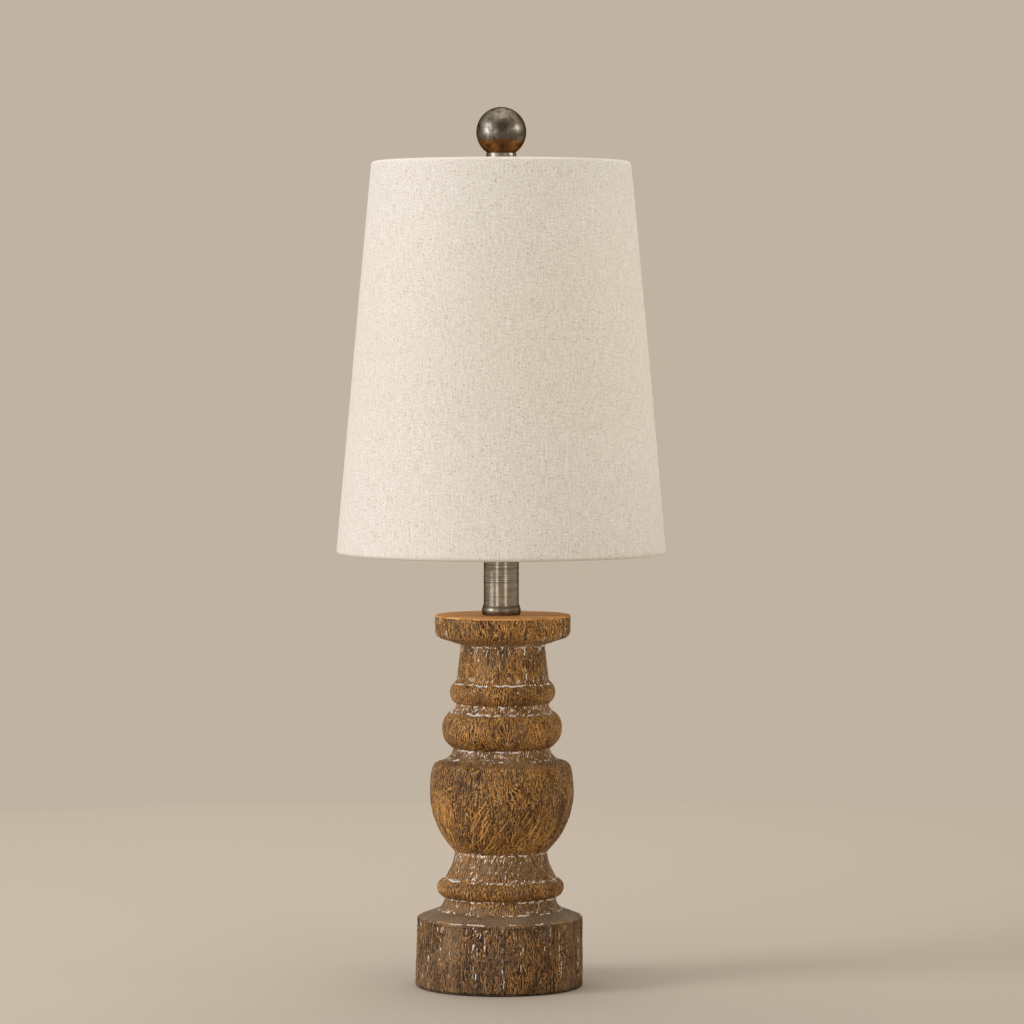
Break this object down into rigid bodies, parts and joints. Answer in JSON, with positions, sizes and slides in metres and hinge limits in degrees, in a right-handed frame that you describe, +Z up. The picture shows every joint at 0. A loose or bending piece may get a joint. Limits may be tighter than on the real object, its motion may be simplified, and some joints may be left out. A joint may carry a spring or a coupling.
{
  "type": "table lamp",
  "caption": "Table lamp with a turned distressed wood column on a round plinth, a slim metal neck, a tapered drum shade on a harp and a ball finial.",
  "frame": {"origin": "centre of the felt pad's underside, where the lamp stands", "axes": "+Z up along the lamp's axis; +Y towards the cord inlet at the back; +X along the harp's width"},
  "size_m": [0.206, 0.206, 0.55],
  "materials": {
    "felt": "matt",
    "distressed_wood": "satin",
    "cast_ballast": "matt",
    "zinc_steel": "satin",
    "antique_metal": "satin",
    "harp_metal": "satin",
    "socket_brass": "satin",
    "liner_board": "matt",
    "phenolic": "gloss",
    "thread_brass": "satin",
    "black_plastic": "gloss",
    "bulb_glass": "gloss",
    "lead_glass": "gloss",
    "cap_metal": "satin",
    "black_glass": "gloss",
    "solder": "satin",
    "filament": "satin",
    "shade_linen": "matt",
    "shade_styrene": "satin",
    "frame_paint": "satin"
  },
  "bodies": {
    "base": {"felt_pad": "felt", "plinth": "distressed_wood", "turned_column": "distressed_wood", "ballast_weight": "cast_ballast", "lamp_pipe": "zinc_steel", "bottom_washer": "zinc_steel", "bottom_nut": "zinc_steel", "cord_bushing": "black_plastic", "neck_ring": "antique_metal", "neck_tube": "antique_metal", "neck_cap": "antique_metal", "harp_saddle": "harp_metal", "saddle_nut": "zinc_steel", "socket_cap": "socket_brass", "socket_set_screw": "zinc_steel", "socket_shell": "socket_brass", "socket_liner": "liner_board", "socket_body": "phenolic", "terminal_screws": "thread_brass", "screw_shell": "thread_brass", "centre_contact": "thread_brass", "key_bushing": "socket_brass"},
    "switch_key": {"key_shaft": "zinc_steel", "key_knob": "black_plastic"},
    "harp": {"harp_wire_left": "harp_metal", "harp_wire_right": "harp_metal", "harp_crown": "harp_metal"},
    "left_ferrule": {"harp_ferrule_left": "harp_metal"},
    "right_ferrule": {"harp_ferrule_right": "harp_metal"},
    "swivel": {"swivel_stud": "harp_metal"},
    "shade": {"shade_fabric": "shade_linen", "shade_liner": "shade_styrene", "shade_top_ring": "frame_paint", "shade_bottom_ring": "frame_paint", "spider_hub": "frame_paint", "spider_arms": "frame_paint"},
    "finial": {"finial_base": "antique_metal", "finial_ball": "antique_metal"},
    "bulb": {"bulb_glass": "bulb_glass", "bulb_cap": "cap_metal", "bulb_insulator": "black_glass", "bulb_tip": "solder", "bulb_stem": "lead_glass", "bulb_filament": "filament"}
  },
  "joints": [
    {"name": "switch_turn", "type": "hinge", "parent": "base", "child": "switch_key", "pos_m": [0, -0.0277, 0.3202], "axis": [0, -1, 0], "continuous": true},
    {"name": "bulb_unscrew", "type": "slide", "parent": "base", "child": "bulb", "axis": [0, 0, 1], "range_m": [0, 0.028]},
    {"name": "harp_lift", "type": "slide", "parent": "base", "child": "harp", "axis": [0, 0, 1], "range_m": [0, 0.03]},
    {"name": "left_ferrule_lift", "type": "slide", "parent": "harp", "child": "left_ferrule", "axis": [0, 0, 1], "range_m": [0, 0.014]},
    {"name": "right_ferrule_lift", "type": "slide", "parent": "harp", "child": "right_ferrule", "axis": [0, 0, 1], "range_m": [0, 0.014]},
    {"name": "shade_swivel", "type": "hinge", "parent": "harp", "child": "swivel", "pos_m": [0, 0, 0.499], "axis": [0, 0, 1], "continuous": true},
    {"name": "shade_lift", "type": "slide", "parent": "swivel", "child": "shade", "axis": [0, 0, 1], "range_m": [0, 0.25]},
    {"name": "finial_unscrew", "type": "slide", "parent": "shade", "child": "finial", "axis": [0, 0, 1], "range_m": [0, 0.02]}
  ]
}
